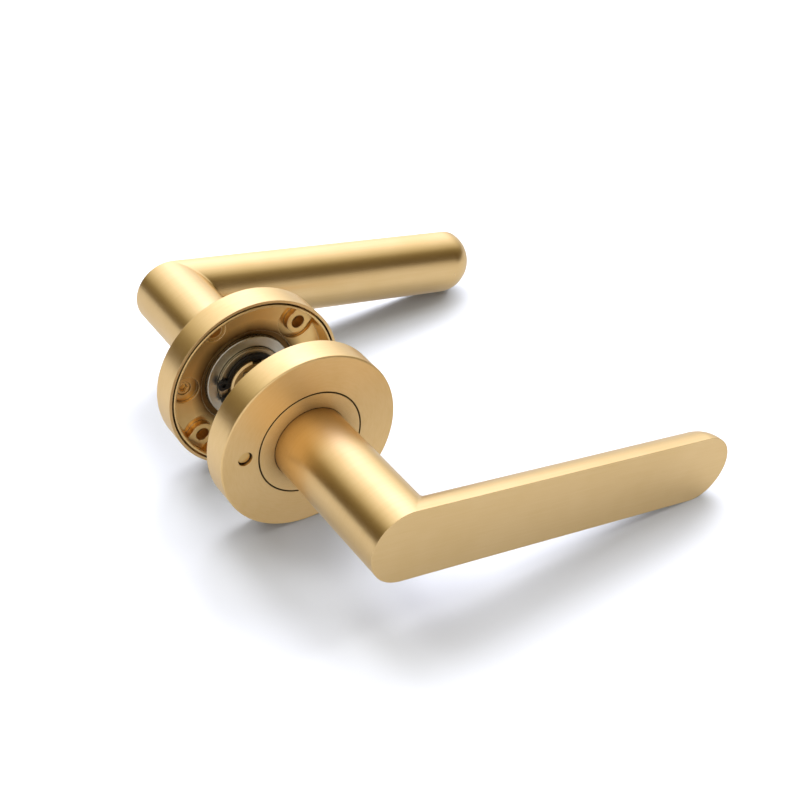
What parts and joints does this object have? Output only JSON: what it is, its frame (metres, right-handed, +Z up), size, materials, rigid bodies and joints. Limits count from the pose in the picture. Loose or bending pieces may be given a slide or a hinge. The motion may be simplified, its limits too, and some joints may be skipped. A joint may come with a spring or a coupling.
{
  "type": "lever handle lockset",
  "caption": "Pair of satin brass lever handles on round roses, joined by a square spindle, each lever sprung back to level.",
  "frame": {"origin": "on the spindle axis, midway between the backs of the two roses", "axes": "+X along the levers to their tips, +Y along the spindle from the front half to the rear half, +Z up with the levers level"},
  "size_m": [0.1364, 0.1308, 0.052],
  "materials": {
    "satin_brass": "satin brushed brass, fine straight or turned lines under a clear lacquer",
    "plate_brass": "bead-blasted brass, unpolished inside of the rose",
    "zinc": "plain die-cast zinc grey with a turned face",
    "plated_steel": "zinc-plated steel with a light straw tint",
    "black_steel": "phosphated black spring steel, slightly oily",
    "spring_steel": "drawn spring wire",
    "nylon": "natural nylon"
  },
  "bodies": {
    "front_rose": {"front_rose_cover": "satin_brass", "front_base_plate": "plate_brass", "front_collar_ring": "satin_brass", "front_cover_screw": "plate_brass", "front_bearing_bush": "nylon", "front_spring_housing": "zinc", "front_return_spring": "spring_steel"},
    "front_handle": {"front_lever": "satin_brass", "front_spring_driver": "plated_steel", "front_thrust_washer": "plated_steel", "front_circlip": "black_steel", "front_grub_screw": "black_steel", "spindle": "plated_steel"},
    "rear_rose": {"rear_rose_cover": "satin_brass", "rear_base_plate": "plate_brass", "rear_collar_ring": "satin_brass", "rear_cover_screw": "plate_brass", "rear_bearing_bush": "nylon", "rear_spring_housing": "zinc", "rear_return_spring": "spring_steel"},
    "rear_handle": {"rear_lever": "satin_brass", "rear_spring_driver": "plated_steel", "rear_thrust_washer": "plated_steel", "rear_circlip": "black_steel", "rear_grub_screw": "black_steel"}
  },
  "joints": [
    {"name": "lever_turn", "type": "hinge", "parent": "front_rose", "child": "front_handle", "pos_m": [0, 0, 0], "axis": [0, 1, 0], "range_deg": [-45, 45], "stiffness_Nm_per_rad": 1.2, "deforming": ["front_return_spring"]},
    {"name": "rose_slide", "type": "slide", "parent": "front_rose", "child": "rear_rose", "axis": [0, 1, 0], "range_m": [0, 0.025]},
    {"name": "rear_lever_turn", "type": "hinge", "parent": "rear_rose", "child": "rear_handle", "pos_m": [0, 0, 0], "axis": [0, 1, 0], "range_deg": [-45, 45], "stiffness_Nm_per_rad": 1.2, "deforming": ["rear_return_spring"]}
  ],
  "couplings": [
    {"joint": "rear_lever_turn", "follows": "lever_turn", "ratio": 1}
  ]
}
